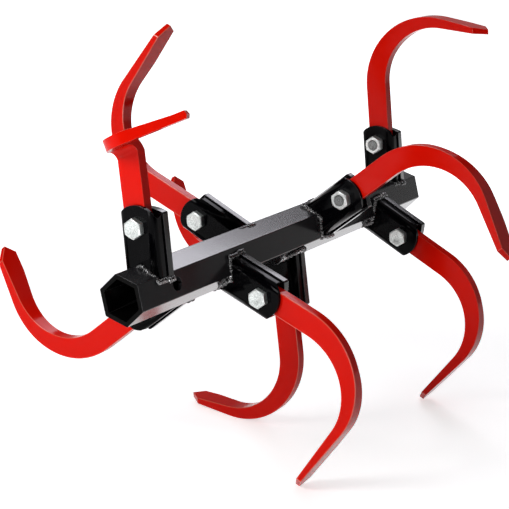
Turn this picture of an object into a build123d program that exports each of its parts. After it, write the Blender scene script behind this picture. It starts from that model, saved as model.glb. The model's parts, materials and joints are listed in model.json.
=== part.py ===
from build123d import *

import math
import os
from collections import namedtuple

# Rotor of a walking tiller: a hexagonal tube that slips over the drive shaft,
# with nine welded holders that each clamp one soil tine.
# The tube lies along X with its drive end at the origin, Z is up, and the
# rotor is turned about the tube as it rests on the floor.
# All lengths are in millimetres and all angles in degrees.

def cos(angle):
    return math.cos(math.radians(angle))


def sin(angle):
    return math.sin(math.radians(angle))


def tan(angle):
    return math.tan(math.radians(angle))


# Tube
TUBE_LENGTH = 500.0
TUBE_ACROSS_FLATS = 40.0
TUBE_WALL = 4.0
TUBE_CORNER_RADIUS = 1.5
LOCK_HOLE_DIAMETER = 12.5
LOCK_HOLE_FROM_END = 53.5

# Place of the first and the last tine from the tube's ends
END_TO_FIRST_TINE = 36.0

# Bar that the tines are made of
BAR_WIDTH = 22.0
BAR_THICKNESS = 10.0
ROOT_GAP = 4.0

# Holder: a pressed channel in front of the tine and a flat plate behind it
CHANNEL_WALL = 3.5
CHANNEL_SIDE_PLAY = 3.3
CHANNEL_BEND_RADIUS = 7.0
CHANNEL_TOP = 75.0
CHANNEL_SHOULDER = 66.0
CHANNEL_SIDE_TOP = 63.0
BACK_OVERHANG = 1.4
BACK_THICKNESS = 7.0
BACK_TOP = 71.0
BACK_SHOULDER = 66.5
BACK_CORNER_RADIUS = 2.0

# Clamp bolt and nut, M10
BOLT_DIAMETER = 10.0
BOLT_LENGTH = 30.0
BOLT_HOLE_DIAMETER = 10.8
BOLT_FROM_AXIS = 55.8
HEAD_HEIGHT = 6.4
NUT_HEIGHT = 8.4
WRENCH_SIZE = 16.0
NUT_BORE_CLEARANCE = 0.3

# Fold of the first tine, whose blade lies towards the drive end
FOLD_SKEW = 17.9
FOLD_ANGLE = 88.0
FOLD_INNER_RADIUS = 7.7

# Blade: straight root, round back and inner edge, then straight to the tip.
# The inner edge starts further out than the back and turns more tightly.
Blade = namedtuple(
    "Blade",
    "back_start back_radius back_turn inner_lag inner_step tip_depth "
    "tip_width flare_start flare_end near_cut far_cut",
)
CURVED_BLADE = Blade(
    back_start=112.7,
    back_radius=70.2,
    back_turn=105.3,
    inner_lag=2.5,
    inner_step=13.8,
    tip_depth=5.0,
    tip_width=22.5,
    flare_start=16.0,
    flare_end=100.0,
    near_cut=12.0,
    far_cut=8.0,
)
FOLDED_BLADE = Blade(
    back_start=112.6,
    back_radius=26.6,
    back_turn=91.4,
    inner_lag=BAR_WIDTH * tan(FOLD_SKEW),
    inner_step=16.0,
    tip_depth=8.0,
    tip_width=7.0,
    flare_start=15.0,
    flare_end=60.0,
    near_cut=1.5,
    far_cut=1.5,
)
FLARE_BLEND_RADIUS = 60.0
TIP_POINT_DEPTH = 0.48
TIP_CUT_OVERRUN = 3.0

# Stations from the drive end: the corner of the tube that the holder stands on, the
# lean of the holder and its shift along the corner's tangent, the same of its tine,
# the blade with the rise of its round back and its reach, and the bolt head's side
Station = namedtuple(
    "Station", "number corner lean shift tine_lean tine_shift blade rise reach head_at_drive_end"
)
STATIONS = [
    Station(1, 90, -7.7, 2.2, -6.5, 1.0, FOLDED_BLADE, 0.0, 72.5, True),
    Station(2, 210, -4.9, -0.1, -4.9, -0.1, CURVED_BLADE, 0.7, 127.5, True),
    Station(3, 330, -6.0, 1.6, -6.0, -0.4, CURVED_BLADE, -6.3, 152.5, True),
    Station(4, 150, -9.5, -1.0, -7.2, 3.0, CURVED_BLADE, 3.5, 145.5, True),
    Station(5, 270, -6.5, -0.4, -6.5, -0.4, CURVED_BLADE, -0.7, 126.0, True),
    Station(6, 30, -5.8, 0.1, -5.8, -0.9, CURVED_BLADE, 0.4, 134.5, False),
    Station(7, 210, -13.0, 0.0, -13.0, 0.0, CURVED_BLADE, -3.4, 115.6, True),
    Station(8, 330, -11.0, -0.9, -11.0, -1.6, CURVED_BLADE, -5.3, 143.6, True),
    Station(9, 90, -8.6, -1.6, -8.6, 0.3, CURVED_BLADE, 2.8, 124.5, False),
]
PITCH = (TUBE_LENGTH - 2 * END_TO_FIRST_TINE) / (len(STATIONS) - 1)
# Tines that the rotor rests on, one on its tip and one on its round back
TIP_REST = STATIONS[2]
BACK_REST = STATIONS[4]

# Planes across the tine, measured towards the drive end from its middle
BAR_NEAR = BAR_THICKNESS / 2
BAR_FAR = -BAR_THICKNESS / 2
CHANNEL_NEAR = BAR_NEAR + CHANNEL_WALL
BACK_FAR = BAR_FAR - BACK_THICKNESS

# Widths across the holder
POCKET_WIDTH = BAR_WIDTH + 2 * CHANNEL_SIDE_PLAY
CHANNEL_WIDTH = POCKET_WIDTH + 2 * CHANNEL_WALL
BACK_WIDTH = CHANNEL_WIDTH + 2 * BACK_OVERHANG

TUBE_CORNER = TUBE_ACROSS_FLATS / math.sqrt(3)
FOOT = TUBE_CORNER * cos(60)
ROOT = TUBE_CORNER + ROOT_GAP
FAR_AWAY = 4 * TUBE_LENGTH


def blade_of(station):
    """Blade of a station, with the rise of its round back added."""
    return station.blade._replace(back_start=station.blade.back_start + station.rise)


def back_line_height(blade, along):
    """Height of the blade's straight back edge at a distance from the root's axis."""
    end_x = -BAR_WIDTH / 2 + blade.back_radius * (1 - cos(blade.back_turn))
    end_y = blade.back_start + blade.back_radius * sin(blade.back_turn)
    return end_y + (along - end_x) * tan(90 - blade.back_turn)


def floor_angle(station, along, height):
    """Angle and distance from the tube's axis of a point of a blade."""
    across = along + station.tine_shift
    angle = station.corner + station.tine_lean - math.degrees(math.atan2(across, height))
    return angle, math.hypot(across, height)


def rest_turn():
    """Turn of the rotor about the tube that lays one tip and one round back on the floor."""
    tip_height = back_line_height(blade_of(TIP_REST), TIP_REST.reach)
    tip_angle, tip_far = floor_angle(TIP_REST, TIP_REST.reach, tip_height)
    back = blade_of(BACK_REST)
    radius = back.back_radius
    back_angle, back_far = floor_angle(BACK_REST, radius - BAR_WIDTH / 2, back.back_start)
    run = tip_far * cos(tip_angle) - back_far * cos(back_angle)
    rise = tip_far * sin(tip_angle) - back_far * sin(back_angle)
    towards_floor = math.degrees(math.atan2(rise, run) - math.acos(radius / math.hypot(run, rise)))
    return -90 - towards_floor


REST_TURN = rest_turn()


def outward(angle):
    """Unit direction away from the tube's axis; 0 faces the front, 90 would be up unturned."""
    turned = angle + REST_TURN
    return Vector(0, -cos(turned), sin(turned))


def station_x(station):
    return END_TO_FIRST_TINE + PITCH * (station.number - 1)


def standing_plane(station, lean, shift):
    """Local frame on a corner of the tube: Y runs outward, Z towards the drive end."""
    across = outward(station.corner + lean - 90)
    foot = Vector(station_x(station), 0, 0) + across * shift
    return Plane(origin=foot, x_dir=across, z_dir=(-1, 0, 0))


def holder_plane(station):
    return standing_plane(station, station.lean, station.shift)


def tine_plane(station):
    return standing_plane(station, station.tine_lean, station.tine_shift)


def hexagon_prism(across_flats, length, corner_radius=0.0):
    """Prism along X whose corners lie on the holders' corner angles."""
    corners = []
    for step in range(6):
        direction = outward(90 + 60 * step)
        corners.append((direction.Y * across_flats / math.sqrt(3), direction.Z * across_flats / math.sqrt(3)))
    outline = Plane.YZ * Polygon(*corners, align=None)
    prism = extrude(outline, length, dir=(1, 0, 0))
    if corner_radius > 0:
        prism = fillet(prism.edges().filter_by(Axis.X), corner_radius)
    return prism


def make_tube():
    tube = hexagon_prism(TUBE_ACROSS_FLATS, TUBE_LENGTH, TUBE_CORNER_RADIUS)
    tube -= hexagon_prism(TUBE_ACROSS_FLATS - 2 * TUBE_WALL, TUBE_LENGTH)
    hole_plane = Plane(origin=(LOCK_HOLE_FROM_END, 0, 0), x_dir=(1, 0, 0), z_dir=outward(0))
    return tube - hole_plane * Cylinder(LOCK_HOLE_DIAMETER / 2, 2 * TUBE_ACROSS_FLATS)


def on_tube(shape, station):
    """Puts a shape of the holder in place and notches it to sit on the tube."""
    placed = holder_plane(station) * shape
    return placed - hexagon_prism(TUBE_ACROSS_FLATS, TUBE_LENGTH)


def bolt_hole():
    return Pos(0, BOLT_FROM_AXIS, 0) * Cylinder(BOLT_HOLE_DIAMETER / 2, 4 * BOLT_LENGTH)


def arched_plate(width, shoulder, top, near, far):
    """Plate from beside the tube outward with a round top edge."""
    outline = Polyline((width / 2, shoulder), (width / 2, FOOT), (-width / 2, FOOT), (-width / 2, shoulder))
    arch = ThreePointArc((-width / 2, shoulder), (0, top), (width / 2, shoulder))
    return Pos(0, 0, far) * extrude(make_face([outline, arch]), near - far)


def make_channel(station):
    body = arched_plate(CHANNEL_WIDTH, CHANNEL_SHOULDER, CHANNEL_TOP, CHANNEL_NEAR, BAR_FAR)
    long_edges = body.edges().filter_by(Axis.Y).group_by(Axis.Z)[-1]
    body = fillet(long_edges, CHANNEL_BEND_RADIUS)
    pocket = Pos(0, CHANNEL_TOP, BAR_FAR) * Box(POCKET_WIDTH, 2 * CHANNEL_TOP, 2 * BAR_THICKNESS)
    dip = ThreePointArc((CHANNEL_SHOULDER, BAR_NEAR), (CHANNEL_SIDE_TOP, 0), (CHANNEL_SHOULDER, BAR_FAR))
    above = Polyline(dip @ 1, (CHANNEL_TOP, BAR_FAR), (CHANNEL_TOP, BAR_NEAR), dip @ 0)
    mouth_cut = extrude(Plane.YZ * make_face([dip, above]), CHANNEL_WIDTH, both=True)
    return on_tube(body - pocket - mouth_cut - bolt_hole(), station)


def make_back_plate(station):
    plate = arched_plate(BACK_WIDTH, BACK_SHOULDER, BACK_TOP, BAR_FAR, BACK_FAR)
    corners = plate.edges().filter_by(Axis.Z).group_by(Axis.Y)[-1]
    plate = fillet(corners, BACK_CORNER_RADIUS)
    return on_tube(plate - bolt_hole(), station)


def blade_outline(blade, reach):
    """Flat outline of a tine, seen from the drive end with its root at the bottom."""
    half = BAR_WIDTH / 2
    back_centre = (-half + blade.back_radius, blade.back_start)
    back = CenterArc(back_centre, blade.back_radius, 180, -blade.back_turn)
    inner_radius = blade.back_radius - blade.inner_step
    inner_centre = (half + inner_radius, blade.back_start + blade.inner_lag)
    back_tip = (reach, back_line_height(blade, reach))
    inner_tip = (reach, back_tip[1] - blade.tip_depth)
    run = inner_tip[0] - inner_centre[0]
    rise = inner_tip[1] - inner_centre[1]
    tangent = math.degrees(math.atan2(rise, run) + math.acos(inner_radius / math.hypot(run, rise)))
    inner = CenterArc(inner_centre, inner_radius, 180, tangent - 180)
    root = Polyline((-half, blade.back_start), (-half, ROOT), (half, ROOT), (half, inner_centre[1]))
    tip = Polyline(back @ 1, back_tip, inner_tip, inner @ 1)
    return make_face([back, inner, root, tip])


def blade_side(blade):
    """Side outline of a tine, which flares away from the drive end towards its tip."""
    far = BAR_NEAR - blade.tip_width
    outline = make_face(
        Polyline(
            (-BAR_WIDTH, BAR_NEAR),
            (FAR_AWAY, BAR_NEAR),
            (FAR_AWAY, far),
            (blade.flare_end, far),
            (blade.flare_start, BAR_FAR),
            (-BAR_WIDTH, BAR_FAR),
            close=True,
        )
    )
    bends = outline.vertices().filter_by(
        lambda corner: min(abs(corner.X - blade.flare_start), abs(corner.X - blade.flare_end)) < 0.001
    )
    return fillet(bends, FLARE_BLEND_RADIUS)


def tip_side(blade, reach):
    """Side outline of the space inside the two slanting cuts that point the tip."""
    point = BAR_NEAR - TIP_POINT_DEPTH * blade.tip_width
    near = point + TIP_CUT_OVERRUN * (BAR_NEAR - point)
    far = point + TIP_CUT_OVERRUN * (BAR_NEAR - blade.tip_width - point)
    return make_face(
        Polyline(
            (-BAR_WIDTH, near),
            (reach - TIP_CUT_OVERRUN * blade.near_cut, near),
            (reach, point),
            (reach - TIP_CUT_OVERRUN * blade.far_cut, far),
            (-BAR_WIDTH, far),
            close=True,
        )
    )


def flat_tine(blade, reach):
    face_on = extrude(blade_outline(blade, reach), FAR_AWAY, both=True)
    from_side = extrude(Plane.XZ * blade_side(blade), FAR_AWAY, both=True)
    pointed = extrude(Plane.XZ * tip_side(blade, reach), FAR_AWAY, both=True)
    return face_on & from_side & pointed


def fold_over(tine, blade):
    """Bends a flat tine towards the drive end along a skew line where its round back starts."""
    along = Vector(cos(FOLD_SKEW), sin(FOLD_SKEW), 0)
    onward = Vector(-sin(FOLD_SKEW), cos(FOLD_SKEW), 0)
    at_fold = Vector(0, blade.back_start + BAR_WIDTH / 2 * tan(FOLD_SKEW), 0)
    axis = Axis(at_fold + Vector(0, 0, BAR_NEAR + FOLD_INNER_RADIUS), along)
    across = Plane(origin=at_fold, x_dir=along, z_dir=onward)
    beyond_fold = across * Box(
        FAR_AWAY, FAR_AWAY, FAR_AWAY, align=(Align.CENTER, Align.CENTER, Align.MIN)
    )
    root = (tine & Box(BAR_WIDTH, FAR_AWAY, FAR_AWAY)) - beyond_fold
    bar = across * Rectangle(BAR_WIDTH / cos(FOLD_SKEW), BAR_THICKNESS)
    bend = revolve(bar, axis, FOLD_ANGLE)
    return root + bend + (tine - root).rotate(axis, FOLD_ANGLE)


def make_tine(station):
    tine = flat_tine(blade_of(station), station.reach)
    if station.blade is FOLDED_BLADE:
        tine = fold_over(tine, blade_of(station))
    return tine_plane(station) * tine - holder_plane(station) * bolt_hole()


def wrench_hexagon(height):
    """Hexagon prism standing on Z = 0."""
    return extrude(RegularPolygon(WRENCH_SIZE / 2, 6, major_radius=False, rotation=30), height)


def bolt_place(station):
    """Frame of the bolt with its head's seat at Z = 0 and its head on the plus side."""
    if station.head_at_drive_end:
        seat = Plane(origin=(0, BOLT_FROM_AXIS, CHANNEL_NEAR), x_dir=(1, 0, 0), z_dir=(0, 0, 1))
    else:
        seat = Plane(origin=(0, BOLT_FROM_AXIS, BACK_FAR), x_dir=(1, 0, 0), z_dir=(0, 0, -1))
    return holder_plane(station).location * seat.location


def make_bolt(station):
    shank = Cylinder(BOLT_DIAMETER / 2, BOLT_LENGTH, align=(Align.CENTER, Align.CENTER, Align.MAX))
    return bolt_place(station) * (wrench_hexagon(HEAD_HEIGHT) + shank)


def make_nut(station):
    grip = CHANNEL_NEAR - BACK_FAR
    bore = Cylinder((BOLT_DIAMETER + NUT_BORE_CLEARANCE) / 2, 4 * NUT_HEIGHT)
    nut = wrench_hexagon(NUT_HEIGHT) - bore
    return bolt_place(station) * Pos(0, 0, -grip - NUT_HEIGHT) * nut


def main():
    os.makedirs("parts", exist_ok=True)
    export_step(make_tube(), "parts/hex_tube.step")
    makers = {
        "holder_channel": make_channel,
        "holder_back_plate": make_back_plate,
        "tine": make_tine,
        "clamp_bolt": make_bolt,
        "clamp_nut": make_nut,
    }
    for station in STATIONS:
        for name, maker in makers.items():
            export_step(maker(station), f"parts/{name}_{station.number}.step")


main()
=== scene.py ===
import json
import random
from math import atan2, cos, pi, radians, sin, sqrt, tan

import bmesh
import bpy
from mathutils import Matrix, Vector


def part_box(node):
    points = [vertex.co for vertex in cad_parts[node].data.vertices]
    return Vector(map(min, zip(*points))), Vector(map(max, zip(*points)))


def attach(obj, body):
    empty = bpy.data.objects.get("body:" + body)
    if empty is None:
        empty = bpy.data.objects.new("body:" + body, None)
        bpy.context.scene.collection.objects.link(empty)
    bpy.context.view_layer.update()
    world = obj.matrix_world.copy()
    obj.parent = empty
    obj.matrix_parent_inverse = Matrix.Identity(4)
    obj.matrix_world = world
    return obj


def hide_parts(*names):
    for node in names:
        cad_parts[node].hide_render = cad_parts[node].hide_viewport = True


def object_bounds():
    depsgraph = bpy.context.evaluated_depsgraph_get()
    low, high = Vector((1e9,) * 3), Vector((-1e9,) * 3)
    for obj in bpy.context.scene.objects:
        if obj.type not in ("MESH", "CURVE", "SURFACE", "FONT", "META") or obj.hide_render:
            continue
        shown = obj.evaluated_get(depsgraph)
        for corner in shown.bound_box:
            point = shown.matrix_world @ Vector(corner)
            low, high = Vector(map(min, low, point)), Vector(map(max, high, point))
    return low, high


# Rotor of a walking tiller, dressed for looks: the hexagonal tube and its
# welded holders in gloss black, the forged tines in gloss red, and bright
# zinc bolts. Lengths are in metres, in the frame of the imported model: X runs along
# the tube from the drive end, Z is up, and the camera stands at the drive end.

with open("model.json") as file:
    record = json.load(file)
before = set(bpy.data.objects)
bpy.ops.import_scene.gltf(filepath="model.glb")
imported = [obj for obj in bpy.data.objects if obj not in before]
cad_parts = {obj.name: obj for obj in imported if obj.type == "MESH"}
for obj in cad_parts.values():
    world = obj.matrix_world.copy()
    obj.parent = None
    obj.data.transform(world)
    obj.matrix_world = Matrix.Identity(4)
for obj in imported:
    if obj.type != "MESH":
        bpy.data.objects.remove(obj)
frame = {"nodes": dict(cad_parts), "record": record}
cad_low, cad_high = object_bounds()
random.seed(7)

MM = 0.001

# Sizes that the solids fix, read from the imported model
TUBE_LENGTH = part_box("hex_tube")[1][0]
MOUNTS = {mount["name"]: mount for mount in frame["record"]["mounts"]}
HOLE_AXIS = Vector(MOUNTS["lock_bore"]["axis"])
REST_TURN = atan2(HOLE_AXIS.z, -HOLE_AXIS.y)
FLOOR_MIDDLE = (TUBE_LENGTH / 2, 0, cad_low[2])

# Sizes of the tube and its holders that the paint and the welds follow. The plates'
# arrises stay sharp within FOOT_RADIUS of the tube's axis, where the welds cover them. The
# faces are given by their height towards the drive end, from the middle of the tine
TUBE_HALF_FLATS = 20 * MM
INSIDE_TUBE = TUBE_HALF_FLATS - 2.5 * MM
FOOT_RADIUS = 27 * MM
CHANNEL_HALF_WIDTH = 17.8 * MM
BACK_HALF_WIDTH = 19.2 * MM
WEB_FACE = 8.5 * MM
JOINT_FACE = -5 * MM
BACK_FACE = -12 * MM

# Sizes of the M10 clamp bolts and nuts
BOLT_FROM_AXIS = 55.8 * MM
BOLT_RADIUS = 5 * MM
BOLT_LENGTH = 30 * MM
HEAD_HEIGHT = 6.4 * MM
NUT_HEIGHT = 8.4 * MM
NUT_BORE_RADIUS = 5.15 * MM
HALF_WRENCH_SIZE = 8 * MM
THREAD_PITCH = 1.5 * MM
THREAD_DEPTH = 0.61 * THREAD_PITCH
THREAD_CREST = BOLT_RADIUS - 0.05 * MM
THREAD_TURNS = 12
BLANK_RADIUS = HALF_WRENCH_SIZE / cos(radians(30)) + 0.1 * MM
CHAMFER_SLOPE = tan(radians(30))
TURNED_STEPS = 48
THREAD_STEPS = 24

# Roundings of the CAD pieces, and the angle from which an arris is rounded or kept sharp
PLATE_ROUNDING = 0.5 * MM
TINE_ROUNDING = 0.8 * MM
SHARP_ARRIS = radians(30)
SHARP_FASTENER = radians(25)
SAME_PLANE = radians(0.4)
SAME_POINT = 0.001 * MM
END_FACING = 0.99

# Places of the materials in a piece that has more than one
# The rounded arrises, which take the lighter paint of a painted highlight
ARRIS = 1
TUBE_END = 2
THREAD = 1

# Holders by number: the corner of the tube that each stands on and its lean, in degrees,
# and its shift along the corner's tangent, in millimetres
HOLDERS = {
    1: (90, -7.7, 2.2),
    2: (210, -4.9, -0.1),
    3: (330, -6.0, 1.6),
    4: (150, -9.5, -1.0),
    5: (270, -6.5, -0.4),
    6: (30, -5.8, 0.1),
    7: (210, -13.0, 0.0),
    8: (330, -11.0, -0.9),
    9: (90, -8.6, -1.6),
}
NUT_AT_DRIVE_END = (6, 9)


# Shader helpers. The sockets of a Mix node share their names, so they go by number

FACTOR = 0
COLOUR_A, COLOUR_B, COLOUR_RESULT = 6, 7, 2
FLOAT_A, FLOAT_B, FLOAT_RESULT = 2, 3, 0


def new_material(name):
    """New material, with its node tree and its shader."""
    material = bpy.data.materials.new(name)
    material.use_nodes = True
    tree = material.node_tree
    return material, tree, tree.nodes["Principled BSDF"]


def add_node(tree, kind, **inputs):
    """Adds a node; words name its properties or, with spaces as underscores, its sockets."""
    node = tree.nodes.new(kind)
    for word, value in inputs.items():
        socket = node.inputs.get(word.replace("_", " ").title()) or node.inputs.get(word)
        if socket is not None:
            socket.default_value = value
        else:
            setattr(node, word, value)
    return node


def new_group(name, inputs, outputs):
    """Node group with float, colour and vector sockets given as {name: (kind, default)}."""
    group = bpy.data.node_groups.new(name, "ShaderNodeTree")
    for label, (kind, default) in inputs.items():
        socket = group.interface.new_socket(label, in_out="INPUT", socket_type=kind)
        socket.default_value = default
    for label, kind in outputs.items():
        group.interface.new_socket(label, in_out="OUTPUT", socket_type=kind)
    entry = group.nodes.new("NodeGroupInput")
    leave = group.nodes.new("NodeGroupOutput")
    return group, entry, leave


def make_speckle_group():
    """Dust and fine specks: a mask that is 1 on scattered small spots and soft patches."""
    group, entry, leave = new_group(
        "paint_dust",
        {
            "Patch Size": ("NodeSocketFloat", 40.0),
            "Speck Size": ("NodeSocketFloat", 900.0),
            "Amount": ("NodeSocketFloat", 0.5),
        },
        {"Mask": "NodeSocketFloat"},
    )
    links = group.links
    coords = add_node(group, "ShaderNodeTexCoord")
    patches = add_node(group, "ShaderNodeTexNoise", Detail=4.0, Roughness=0.6)
    specks = add_node(group, "ShaderNodeTexNoise", Detail=2.0, Roughness=0.7)
    patch_ramp = add_node(group, "ShaderNodeMapRange", From_Min=0.45, From_Max=0.75)
    speck_ramp = add_node(group, "ShaderNodeMapRange", From_Min=0.52, From_Max=0.72)
    both = add_node(group, "ShaderNodeMath", operation="MULTIPLY")
    scaled = add_node(group, "ShaderNodeMath", operation="MULTIPLY", use_clamp=True)
    links.new(coords.outputs["Object"], patches.inputs["Vector"])
    links.new(coords.outputs["Object"], specks.inputs["Vector"])
    links.new(entry.outputs["Patch Size"], patches.inputs["Scale"])
    links.new(entry.outputs["Speck Size"], specks.inputs["Scale"])
    links.new(patches.outputs["Fac"], patch_ramp.inputs["Value"])
    links.new(specks.outputs["Fac"], speck_ramp.inputs["Value"])
    links.new(patch_ramp.outputs["Result"], both.inputs[0])
    links.new(speck_ramp.outputs["Result"], both.inputs[1])
    links.new(both.outputs[0], scaled.inputs[0])
    links.new(entry.outputs["Amount"], scaled.inputs[1])
    links.new(scaled.outputs[0], leave.inputs["Mask"])
    return group


def make_ripple_group():
    """Height of a sprayed coat: broad waves of the metal under it and fine orange peel."""
    group, entry, leave = new_group(
        "sprayed_coat",
        {
            "Wave Scale": ("NodeSocketFloat", 60.0),
            "Peel Scale": ("NodeSocketFloat", 700.0),
            "Peel Share": ("NodeSocketFloat", 0.3),
        },
        {"Height": "NodeSocketFloat"},
    )
    links = group.links
    coords = add_node(group, "ShaderNodeTexCoord")
    waves = add_node(group, "ShaderNodeTexNoise", Detail=2.0, Roughness=0.5)
    peel = add_node(group, "ShaderNodeTexNoise", Detail=1.0, Roughness=0.5)
    blend = add_node(group, "ShaderNodeMix", data_type="FLOAT")
    links.new(coords.outputs["Object"], waves.inputs["Vector"])
    links.new(coords.outputs["Object"], peel.inputs["Vector"])
    links.new(entry.outputs["Wave Scale"], waves.inputs["Scale"])
    links.new(entry.outputs["Peel Scale"], peel.inputs["Scale"])
    links.new(entry.outputs["Peel Share"], blend.inputs[FACTOR])
    links.new(waves.outputs["Fac"], blend.inputs[FLOAT_A])
    links.new(peel.outputs["Fac"], blend.inputs[FLOAT_B])
    links.new(blend.outputs[FLOAT_RESULT], leave.inputs["Height"])
    return group


PAINT_DUST = make_speckle_group()
SPRAYED_COAT = make_ripple_group()
DUST_ROUGHNESS = 0.32
COAT_RELIEF = 0.4 * MM
ZINC_RELIEF = 0.3 * MM


def place_group(tree, group, **inputs):
    """Adds a node group; words name its sockets."""
    node = tree.nodes.new("ShaderNodeGroup")
    node.node_tree = group
    for word, value in inputs.items():
        node.inputs[word.replace("_", " ")].default_value = value
    return node


def make_gloss_paint(
    name, colour, dust_colour, ior, roughness, dust_amount=0.4, bump=0.10, chipped=False
):
    """Gloss paint with a sprayed surface and scattered specks, of dust or of bare metal."""
    material, tree, shader = new_material(name)
    links = tree.links
    dust = place_group(tree, PAINT_DUST, Amount=dust_amount)
    coat = place_group(tree, SPRAYED_COAT)
    tint = add_node(tree, "ShaderNodeMix", data_type="RGBA")
    tint.inputs[COLOUR_A].default_value = (*colour, 1)
    tint.inputs[COLOUR_B].default_value = (*dust_colour, 1)
    sheen = add_node(tree, "ShaderNodeMapRange", To_Min=roughness, To_Max=DUST_ROUGHNESS)
    relief = add_node(tree, "ShaderNodeBump", Strength=bump, Distance=COAT_RELIEF)
    links.new(dust.outputs["Mask"], tint.inputs[FACTOR])
    links.new(dust.outputs["Mask"], sheen.inputs["Value"])
    links.new(tint.outputs[COLOUR_RESULT], shader.inputs["Base Color"])
    links.new(sheen.outputs["Result"], shader.inputs["Roughness"])
    links.new(coat.outputs["Height"], relief.inputs["Height"])
    links.new(relief.outputs["Normal"], shader.inputs["Normal"])
    shader.inputs["IOR"].default_value = ior
    if chipped:
        links.new(dust.outputs["Mask"], shader.inputs["Metallic"])
    return material


def gloss_rays(tree, path):
    """Output that is 1 for mirrored and refracted rays, or else 0."""
    rays = add_node(tree, "ShaderNodeMath", operation="MAXIMUM")
    tree.links.new(path.outputs["Is Glossy Ray"], rays.inputs[0])
    tree.links.new(path.outputs["Is Transmission Ray"], rays.inputs[1])
    return rays.outputs[0]


def add_wet_gloss(material, low, high, roughness):
    """Clear coat that comes in between two slants of view, as on thick gloss paint."""
    tree = material.node_tree
    shader = tree.nodes["Principled BSDF"]
    slant = add_node(tree, "ShaderNodeLayerWeight", Blend=0.5)
    weight = add_node(
        tree, "ShaderNodeMapRange", interpolation_type="SMOOTHSTEP", From_Min=low, From_Max=high
    )
    tree.links.new(slant.outputs["Facing"], weight.inputs["Value"])
    tree.links.new(weight.outputs["Result"], shader.inputs["Coat Weight"])
    shader.inputs["Coat IOR"].default_value = 1.5
    shader.inputs["Coat Roughness"].default_value = roughness


def make_zinc(name, pit_colour, grey, bright):
    """Zinc plate with a faint crystalline mottle and dull pits."""
    material, tree, shader = new_material(name)
    links = tree.links
    coords = add_node(tree, "ShaderNodeTexCoord")
    mottle = add_node(tree, "ShaderNodeTexNoise", Scale=900.0, Detail=4.0, Roughness=0.7)
    pits = add_node(tree, "ShaderNodeTexVoronoi", Scale=420.0)
    pit_ramp = add_node(tree, "ShaderNodeMapRange", From_Min=0.0, From_Max=0.28)
    colour = add_node(tree, "ShaderNodeValToRGB")
    for stop, place, shade in zip(colour.color_ramp.elements, (0.35, 0.62), (grey, bright)):
        stop.position = place
        stop.color = (*shade, 1)
    dulled = add_node(tree, "ShaderNodeMix", data_type="RGBA")
    dulled.inputs[COLOUR_A].default_value = (*pit_colour, 1)
    rough = add_node(tree, "ShaderNodeMapRange", To_Min=0.30, To_Max=0.52)
    relief = add_node(tree, "ShaderNodeBump", Strength=0.35, Distance=ZINC_RELIEF)
    links.new(coords.outputs["Object"], mottle.inputs["Vector"])
    links.new(coords.outputs["Object"], pits.inputs["Vector"])
    links.new(mottle.outputs["Fac"], colour.inputs["Fac"])
    links.new(pits.outputs["Distance"], pit_ramp.inputs["Value"])
    links.new(pit_ramp.outputs["Result"], dulled.inputs[FACTOR])
    links.new(colour.outputs["Color"], dulled.inputs[COLOUR_B])
    links.new(dulled.outputs[COLOUR_RESULT], shader.inputs["Base Color"])
    links.new(mottle.outputs["Fac"], rough.inputs["Value"])
    links.new(rough.outputs["Result"], shader.inputs["Roughness"])
    links.new(mottle.outputs["Fac"], relief.inputs["Height"])
    links.new(relief.outputs["Normal"], shader.inputs["Normal"])
    shader.inputs["Metallic"].default_value = 0.85
    return material


# Materials. Paint has a colour, a colour of its specks, an index of refraction and a
# roughness; zinc has the colours of its pits, its grey and its bright spots. The holders'
# paint is one and the same, but it shines less on the channels than on the back plates
HOLDER_COAT = ((0.0012, 0.0012, 0.0018), (0.02, 0.019, 0.022), 1.13, 0.10)
BLACK_PAINT = make_gloss_paint("black_gloss_paint", *HOLDER_COAT)
add_wet_gloss(BLACK_PAINT, 0.30, 0.62, 0.20)
CHANNEL_PAINT = make_gloss_paint("channel_gloss_paint", *HOLDER_COAT)
add_wet_gloss(CHANNEL_PAINT, 0.50, 1.0, 0.09)
# The tube's black is given a lighter colour than the holders' and the tube ends': painted light,
# standing in for the dim reflection on the tube's sides.
TUBE_PAINT_WITH_PAINTED_LIGHT = make_gloss_paint(
    "tube_paint_with_painted_light", (0.024, 0.0235, 0.026), (0.06, 0.057, 0.06), 1.18, 0.10
)
add_wet_gloss(TUBE_PAINT_WITH_PAINTED_LIGHT, 0.30, 0.62, 0.20)
TUBE_END_PAINT = make_gloss_paint(
    "tube_end_paint", (0.002, 0.002, 0.002), (0.02, 0.02, 0.02), 1.12, 0.2
)
# The arris paints are lighter than the paints of the faces and shine more: a painted highlight
# along the rounded arrises.
BLACK_ARRIS_PAINTED_HIGHLIGHT = make_gloss_paint(
    "black_arris_painted_highlight", (0.04, 0.04, 0.045), (0.16, 0.15, 0.16), 1.60, 0.16, dust_amount=0.6
)
WELD_PAINT = make_gloss_paint(
    "weld_black_paint", (0.008, 0.008, 0.009), (0.85, 0.85, 0.86), 1.8, 0.18, dust_amount=4.0,
    bump=1.0, chipped=True,
)
RED_PAINT = make_gloss_paint(
    "red_gloss_paint", (0.80, 0.006, 0.001), (0.60, 0.03, 0.015), 1.18, 0.12, dust_amount=0.3
)
# Lighter, pinkish red on the tines' rounded arrises: a painted highlight.
RED_ARRIS_PAINTED_HIGHLIGHT = make_gloss_paint(
    "red_arris_painted_highlight", (0.86, 0.09, 0.05), (0.80, 0.30, 0.24), 1.60, 0.16, dust_amount=0.6
)
HEAD_ZINC = make_zinc("bolt_head_zinc", (0.30, 0.32, 0.31), (0.44, 0.47, 0.46), (0.88, 0.92, 0.90))
# The nuts' zinc is given brighter colours than the heads': painted light, for the far nuts that
# the lamps light less.
NUT_ZINC_PAINTED_LIGHT = make_zinc("nut_zinc_painted_light", (0.42, 0.44, 0.43), (0.66, 0.69, 0.68), (0.96, 0.98, 0.97))
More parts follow.
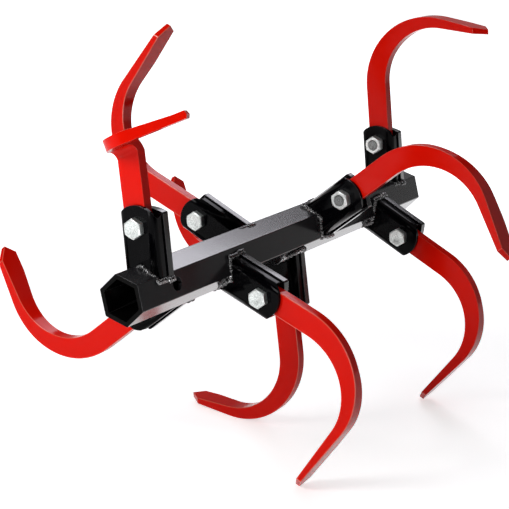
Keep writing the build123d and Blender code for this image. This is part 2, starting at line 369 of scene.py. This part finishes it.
# The thread is given much darker colours than the head and the nut.
THREAD_ZINC = make_zinc(
    "bolt_thread_zinc", (0.05, 0.05, 0.05), (0.10, 0.10, 0.10), (0.34, 0.35, 0.35)
)


# Shape helpers

def put_in_scene(name, bm, material, slot, *stands_for):
    """Makes a piece of a bmesh, with its finish, riding on the rotor."""
    mesh = bpy.data.meshes.new(name)
    bm.to_mesh(mesh)
    bm.free()
    mesh.shade_smooth()
    mesh.materials.append(material)
    piece = bpy.data.objects.new(name, mesh)
    bpy.context.scene.collection.objects.link(piece)
    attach(piece, "root")
    if stands_for:
        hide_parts(*stands_for)
    return piece


def rounded_copy(node, radius, material, arris_highlight_material, slot, keep_clear=0.0, segments=3):
    """Copy of a CAD piece with its arrises rounded, but not within keep_clear of the axis; the
    rounded faces take a lighter paint as a painted highlight.
    """
    bm = bmesh.new()
    bm.from_mesh(frame["nodes"][node].data)
    bmesh.ops.remove_doubles(bm, verts=bm.verts, dist=SAME_POINT)
    bmesh.ops.dissolve_limit(bm, angle_limit=SAME_PLANE, verts=bm.verts, edges=bm.edges)
    arrises = []
    for edge in bm.edges:
        if len(edge.link_faces) != 2 or edge.calc_face_angle(0) < SHARP_ARRIS:
            continue
        middle = (edge.verts[0].co + edge.verts[1].co) / 2
        if sqrt(middle.y ** 2 + middle.z ** 2) > keep_clear:
            arrises.append(edge)
    rounded = bmesh.ops.bevel(
        bm, geom=arrises, offset=radius, offset_type="OFFSET", affect="EDGES",
        segments=segments, profile=0.5, material=-1, clamp_overlap=True,
    )
    for face in rounded["faces"]:
        face.material_index = ARRIS
    piece = put_in_scene(f"{node}_finish", bm, material, slot, node)
    piece.data.materials.append(arris_highlight_material)
    lean = piece.modifiers.new("weighted_normals", "WEIGHTED_NORMAL")
    lean.keep_sharp = True
    return piece


def holder_x(number):
    """Place of a holder's middle along the tube, from its channel's near face."""
    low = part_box(f"holder_channel_{number}")[0]
    return low[0] + WEB_FACE


def holder_matrix(number):
    """Local frame of a holder: Y runs outward, Z towards the drive end."""
    corner, lean, shift = HOLDERS[number]
    angle = radians(corner + lean) + REST_TURN
    outward = Vector((0, -cos(angle), sin(angle)))
    across = Vector((0, -cos(angle - pi / 2), sin(angle - pi / 2)))
    matrix = Matrix.Identity(4)
    matrix.col[0][:3] = across
    matrix.col[1][:3] = outward
    matrix.col[2][:3] = Vector((-1, 0, 0))
    matrix.col[3][:3] = Vector((holder_x(number), 0, 0)) + across * (shift * MM)
    return matrix


# Tube, holders and tines

tube = rounded_copy(
    "hex_tube", PLATE_ROUNDING, TUBE_PAINT_WITH_PAINTED_LIGHT, BLACK_ARRIS_PAINTED_HIGHLIGHT, "black_paint", segments=2
)
# The end faces and the bore take the plain, darker black, without the painted light of the tube's
# sides.
tube.data.materials.append(TUBE_END_PAINT)
for face in tube.data.polygons:
    from_axis = sqrt(face.center.y ** 2 + face.center.z ** 2)
    if abs(face.normal.x) > END_FACING or from_axis < INSIDE_TUBE:
        face.material_index = TUBE_END
for number in HOLDERS:
    for plate, paint in (("holder_channel", CHANNEL_PAINT), ("holder_back_plate", BLACK_PAINT)):
        rounded_copy(
            f"{plate}_{number}", PLATE_ROUNDING, paint, BLACK_ARRIS_PAINTED_HIGHLIGHT, "black_paint",
            keep_clear=FOOT_RADIUS, segments=2,
        )
    rounded_copy(f"tine_{number}", TINE_ROUNDING, RED_PAINT, RED_ARRIS_PAINTED_HIGHLIGHT, "red_enamel")


# Clamp bolts and nuts

def spun(profile, steps, pitch=0.0):
    """Turns a line of (radius, height) points about Z, rising one pitch in a full turn."""
    bm = bmesh.new()
    verts = [bm.verts.new((radius, 0, height)) for radius, height in profile]
    edges = [bm.edges.new(pair) for pair in zip(verts, verts[1:])]
    bmesh.ops.spin(
        bm, geom=verts + edges, cent=(0, 0, 0), axis=(0, 0, 1), dvec=(0, 0, pitch / steps),
        angle=2 * pi, steps=steps, use_merge=pitch == 0,
    )
    bmesh.ops.remove_doubles(bm, verts=bm.verts, dist=5 * SAME_POINT)
    return bm


def cut_flat(bm, point, normal):
    """Cuts away what lies beyond a plane and closes the cut."""
    geometry = bm.verts[:] + bm.edges[:] + bm.faces[:]
    cut = bmesh.ops.bisect_plane(
        bm, geom=geometry, dist=0.1 * SAME_POINT, plane_co=point, plane_no=normal,
        clear_outer=True,
    )
    rim = [item for item in cut["geom_cut"] if isinstance(item, bmesh.types.BMEdge)]
    bmesh.ops.edgenet_fill(bm, edges=rim)


def hexagonal(bm):
    """Cuts the six wrench flats."""
    for step in range(6):
        angle = radians(60 * step)
        normal = Vector((cos(angle), sin(angle), 0))
        cut_flat(bm, normal * HALF_WRENCH_SIZE, normal)


def bolt_head():
    """Bolt head with a turned chamfer on top, on the round face of its seat."""
    flat_top = 0.93 * HALF_WRENCH_SIZE
    drop = (BLANK_RADIUS - flat_top) * CHAMFER_SLOPE
    dish = HEAD_HEIGHT - 0.35 * MM
    seat = 0.97 * HALF_WRENCH_SIZE
    bm = spun(
        [
            (0, dish),
            (0.5 * flat_top, dish),
            (0.62 * flat_top, HEAD_HEIGHT),
            (flat_top, HEAD_HEIGHT),
            (BLANK_RADIUS, HEAD_HEIGHT - drop),
            (BLANK_RADIUS, 0.5 * MM),
            (seat, 0.4 * MM),
            (seat, 0),
            (0, 0),
        ],
        TURNED_STEPS,
    )
    hexagonal(bm)
    return bm


def nut_body():
    """Nut with both its faces turned off to a chamfer."""
    flat_top = 0.95 * HALF_WRENCH_SIZE
    drop = (BLANK_RADIUS - flat_top) * CHAMFER_SLOPE
    mouth = 0.5 * MM
    bm = spun(
        [
            (NUT_BORE_RADIUS, mouth),
            (NUT_BORE_RADIUS + mouth, 0),
            (flat_top, 0),
            (BLANK_RADIUS, drop),
            (BLANK_RADIUS, NUT_HEIGHT - drop),
            (flat_top, NUT_HEIGHT),
            (NUT_BORE_RADIUS + mouth, NUT_HEIGHT),
            (NUT_BORE_RADIUS, NUT_HEIGHT - mouth),
            (NUT_BORE_RADIUS, mouth),
        ],
        TURNED_STEPS,
    )
    hexagonal(bm)
    return bm


def threaded_shank():
    """Shank below the head, with a rolled thread on its last part."""
    low = -BOLT_LENGTH
    profile = []
    for turn in range(THREAD_TURNS + 1):
        height = low - THREAD_PITCH + turn * THREAD_PITCH
        profile.append((BOLT_RADIUS - THREAD_DEPTH, height))
        profile.append((THREAD_CREST, height + 0.42 * THREAD_PITCH))
        profile.append((THREAD_CREST, height + 0.58 * THREAD_PITCH))
    bm = spun(profile, THREAD_STEPS, THREAD_PITCH)
    threaded = (THREAD_TURNS - 1) * THREAD_PITCH
    plain = BOLT_LENGTH - threaded
    cut_flat(bm, Vector((0, 0, low)), Vector((0, 0, -1)))
    cut_flat(bm, Vector((0, 0, low + threaded)), Vector((0, 0, 1)))
    bmesh.ops.create_cone(
        bm, cap_ends=True, segments=THREAD_STEPS, radius1=THREAD_CREST, radius2=THREAD_CREST,
        depth=plain, matrix=Matrix.Translation((0, 0, -plain / 2)),
    )
    return bm


def add_mesh(bm, part):
    """Adds one bmesh to another."""
    mesh = bpy.data.meshes.new("joined_part")
    part.to_mesh(mesh)
    part.free()
    bm.from_mesh(mesh)
    bpy.data.meshes.remove(mesh)


def bolt_matrix(number):
    """Frame of a bolt: its head's seat at Z = 0 and its head on the plus side."""
    if number in NUT_AT_DRIVE_END:
        seat = Matrix.Translation((0, BOLT_FROM_AXIS, BACK_FACE)) @ Matrix.Rotation(pi, 4, "Y")
    else:
        seat = Matrix.Translation((0, BOLT_FROM_AXIS, WEB_FACE))
    return holder_matrix(number) @ seat


# What lies between the head and the nut
GRIP = WEB_FACE - BACK_FACE
JUST_BELOW_SEAT = -0.01 * MM
for number in HOLDERS:
    bm = bolt_head()
    add_mesh(bm, threaded_shank())
    bmesh.ops.recalc_face_normals(bm, faces=bm.faces)
    for face in bm.faces:
        if face.calc_center_median().z < JUST_BELOW_SEAT:
            face.material_index = THREAD
    bm.transform(bolt_matrix(number))
    bolt = put_in_scene(f"bolt_{number}", bm, HEAD_ZINC, "zinc_steel", f"clamp_bolt_{number}")
    bolt.data.materials.append(THREAD_ZINC)
    bm = nut_body()
    bmesh.ops.recalc_face_normals(bm, faces=bm.faces)
    bm.transform(bolt_matrix(number) @ Matrix.Translation((0, 0, -GRIP - NUT_HEIGHT)))
    nut = put_in_scene(f"nut_{number}", bm, NUT_ZINC_PAINTED_LIGHT, "zinc_steel", f"clamp_nut_{number}")
    for piece in (bolt, nut):
        piece.data.set_sharp_from_angle(angle=SHARP_FASTENER)


# Weld beads: drops of metal in a row, of uneven size. They wander by up to BEAD_WANDER
# millimetres each way

BEAD_RADIUS = 2.7 * MM
BEAD_STEP = 1.9 * MM
BEAD_CROWDING = 1.12
BEAD_SIZES = (0.80, 1.15)
BEAD_WANDER = 0.25
BEAD_SQUASH = Matrix.Diagonal((0.75, 1.0, 0.85, 1.0))


def tube_height(across, number):
    """Height of the tube's surface above its axis, at a distance across a holder."""
    _, lean, shift = HOLDERS[number]
    across += shift * MM
    heights = []
    for side in (-1, 1):
        angle = radians(30) * side + radians(lean)
        heights.append((TUBE_HALF_FLATS + across * sin(angle)) / cos(angle))
    return min(heights)


def bead_path(start, end, number):
    """Points along a holder's foot from one (across, towards drive end) place to another."""
    run = sqrt((end[0] - start[0]) ** 2 + (end[1] - start[1]) ** 2)
    count = max(2, round(BEAD_CROWDING * run / BEAD_STEP))
    points = []
    for step in range(count + 1):
        share = step / count
        across = start[0] + share * (end[0] - start[0])
        along = start[1] + share * (end[1] - start[1])
        points.append(Vector((across, tube_height(across, number), along)))
    return points


def add_bead(bm, points):
    """Row of overlapping drops of weld metal along a line of points."""
    for place, point in enumerate(points):
        ahead = points[min(place + 1, len(points) - 1)] - points[max(place - 1, 0)]
        turn = ahead.to_track_quat("X", "Z").to_matrix().to_4x4()
        size = BEAD_RADIUS * random.uniform(*BEAD_SIZES)
        wander = Vector([random.uniform(-BEAD_WANDER, BEAD_WANDER) * MM for _ in range(3)])
        place_and_shape = Matrix.Translation(point + wander) @ turn @ BEAD_SQUASH
        bmesh.ops.create_icosphere(bm, subdivisions=2, radius=size, matrix=place_and_shape)


for number in HOLDERS:
    bm = bmesh.new()
    near, far = CHANNEL_HALF_WIDTH, BACK_HALF_WIDTH
    add_bead(bm, bead_path((-near, WEB_FACE), (near, WEB_FACE), number))
    add_bead(bm, bead_path((-far, BACK_FACE), (far, BACK_FACE), number))
    for side in (-1, 1):
        add_bead(bm, bead_path((side * near, WEB_FACE), (side * near, JOINT_FACE), number))
        add_bead(bm, bead_path((side * far, JOINT_FACE), (side * far, BACK_FACE), number))
    bm.transform(holder_matrix(number))
    put_in_scene(f"weld_bead_{number}", bm, WELD_PAINT, "black_paint")


# Floor. Its glow is weaker by the rotor, so that the shadow shows, than far off

FLOOR_HALF_SIZE = 6.0
GLOW_BY_ROTOR = 0.64
GLOW_IN_GLOSS = 0.55
GLOW_FAR_OFF = 1.0
GLOW_STARTS = 0.3
GLOW_FULL = 1.2


def glow_by_place(tree, shader):
    """Glow for camera, mirrored and refracted rays alone, stronger away from the rotor."""
    path = add_node(tree, "ShaderNodeLightPath")
    coords = add_node(tree, "ShaderNodeTexCoord")
    away = add_node(tree, "ShaderNodeVectorMath", operation="DISTANCE")
    away.inputs[1].default_value = FLOOR_MIDDLE
    tree.links.new(coords.outputs["Object"], away.inputs[0])
    both = add_node(tree, "ShaderNodeMath", operation="ADD")
    rays_and_glows = (
        (path.outputs["Is Camera Ray"], GLOW_BY_ROTOR),
        (gloss_rays(tree, path), GLOW_IN_GLOSS),
    )
    for place, (rays, glow_by_rotor) in enumerate(rays_and_glows):
        level = add_node(
            tree, "ShaderNodeMapRange", interpolation_type="SMOOTHSTEP", From_Min=GLOW_STARTS,
            From_Max=GLOW_FULL, To_Min=glow_by_rotor, To_Max=GLOW_FAR_OFF,
        )
        share = add_node(tree, "ShaderNodeMath", operation="MULTIPLY")
        tree.links.new(away.outputs["Value"], level.inputs["Value"])
        tree.links.new(rays, share.inputs[0])
        tree.links.new(level.outputs["Result"], share.inputs[1])
        tree.links.new(share.outputs[0], both.inputs[place])
    tree.links.new(both.outputs[0], shader.inputs["Emission Strength"])


def make_floor():
    """Pale floor that shows white to the eye and to gloss, and keeps the rotor's shadow."""
    bm = bmesh.new()
    bmesh.ops.create_grid(bm, x_segments=1, y_segments=1, size=FLOOR_HALF_SIZE)
    bm.transform(Matrix.Translation(FLOOR_MIDDLE))
    mesh = bpy.data.meshes.new("floor")
    bm.to_mesh(mesh)
    bm.free()
    floor = bpy.data.objects.new("floor", mesh)
    bpy.context.scene.collection.objects.link(floor)
    material, tree, shader = new_material("pale_floor")
    shader.inputs["Base Color"].default_value = (0.90, 0.90, 0.90, 1)
    shader.inputs["Roughness"].default_value = 0.9
    shader.inputs["Specular IOR Level"].default_value = 0.0
    shader.inputs["Emission Color"].default_value = (1, 1, 1, 1)
    glow_by_place(tree, shader)
    mesh.materials.append(material)


make_floor()


# Light

def add_softbox(name, place, target, size, power, colour=(1, 1, 1)):
    """Rectangular lamp at a place, turned to a target."""
    data = bpy.data.lights.new(name, "AREA")
    data.shape = "RECTANGLE"
    data.size, data.size_y = size
    data.energy = power
    data.color = colour
    lamp = bpy.data.objects.new(name, data)
    lamp.location = place
    lamp.rotation_euler = (Vector(target) - Vector(place)).to_track_quat("-Z", "Y").to_euler()
    bpy.context.scene.collection.objects.link(lamp)


# Each has its place, its target, its size in metres, its power in watts and its colour
add_softbox("key_softbox", (-0.75, 0.35, 0.58), (0.1, 0, 0), (0.42, 0.42), 6.8)
add_softbox("low_softbox", (-0.9, -0.3, -0.06), (0.2, 0, -0.08), (0.4, 0.2), 2.3)
add_softbox(
    "back_softbox", (2.15, 0.74, 1.75), (0.1, -0.06, 0.33), (1.4, 1.0), 20, (0.94, 0.92, 1.0)
)
add_softbox("top_softbox", (0.3, 0.1, 2.2), (TUBE_LENGTH / 2, 0, 0), (2.2, 2.2), 9)


# World. To gloss, a white backdrop stands behind the rotor and a grey wall to its front and
# right: the way to each, the cosines where it starts and is full, and its glow

WALLS = (
    (Vector((0.80, 0.45, -0.30)).normalized(), 0.60, 0.90, 0.34),
    (Vector((0.80, -0.60, 0.06)).normalized(), 0.75, 0.95, 0.36),
)
REST_OF_ROOM = 0.015
FILL_LIGHT = 0.03
SHOWN_WHITE = 1.0


def make_world():
    """White to the camera; to gloss, a backdrop, a grey wall and a dim room."""
    world = bpy.data.worlds.new("studio")
    world.use_nodes = True
    bpy.context.scene.world = world
    tree = world.node_tree
    background = tree.nodes["Background"]
    background.inputs["Color"].default_value = (1, 1, 1, 1)
    path = add_node(tree, "ShaderNodeLightPath")
    coords = add_node(tree, "ShaderNodeTexCoord")
    seen = add_node(tree, "ShaderNodeMath", operation="MAXIMUM")
    for place, (way, starts, full, glow) in enumerate(WALLS):
        facing = add_node(tree, "ShaderNodeVectorMath", operation="DOT_PRODUCT")
        facing.inputs[1].default_value = way
        spread = add_node(
            tree, "ShaderNodeMapRange", interpolation_type="SMOOTHSTEP", From_Min=starts,
            From_Max=full, To_Min=REST_OF_ROOM, To_Max=glow,
        )
        tree.links.new(coords.outputs["Generated"], facing.inputs[0])
        tree.links.new(facing.outputs["Value"], spread.inputs["Value"])
        tree.links.new(spread.outputs["Result"], seen.inputs[place])
    mirrored = add_node(tree, "ShaderNodeMix", data_type="FLOAT")
    mirrored.inputs[FLOAT_A].default_value = FILL_LIGHT
    shown = add_node(tree, "ShaderNodeMix", data_type="FLOAT")
    shown.inputs[FLOAT_B].default_value = SHOWN_WHITE
    tree.links.new(gloss_rays(tree, path), mirrored.inputs[FACTOR])
    tree.links.new(seen.outputs[0], mirrored.inputs[FLOAT_B])
    tree.links.new(path.outputs["Is Camera Ray"], shown.inputs[FACTOR])
    tree.links.new(mirrored.outputs[FLOAT_RESULT], shown.inputs[FLOAT_A])
    tree.links.new(shown.outputs[FLOAT_RESULT], background.inputs["Strength"])


make_world()


# Camera, as fitted to the photo

CAMERA_PLACE = (-1.07793, -0.77565, 0.45713)
CAMERA_FORWARD = Vector((0.81803, 0.49354, -0.29539))
CAMERA_UP = Vector((0.21686, 0.21102, 0.95312))
CAMERA_LENS = 119.65
CAMERA_SENSOR = 36
NEAREST_SEEN = 0.05


def make_camera():
    """Camera that stands where the photo's stood."""
    data = bpy.data.cameras.new("camera")
    data.lens = CAMERA_LENS
    data.sensor_width = CAMERA_SENSOR
    data.clip_start = NEAREST_SEEN
    camera = bpy.data.objects.new("camera", data)
    forward = CAMERA_FORWARD.normalized()
    right = forward.cross(CAMERA_UP).normalized()
    up = right.cross(forward)
    matrix = Matrix.Identity(4)
    matrix.col[0][:3] = right
    matrix.col[1][:3] = up
    matrix.col[2][:3] = -forward
    matrix.col[3][:3] = CAMERA_PLACE
    camera.matrix_world = matrix
    bpy.context.scene.collection.objects.link(camera)
    bpy.context.scene.camera = camera


make_camera()
bpy.context.scene.view_settings.view_transform = "Standard"
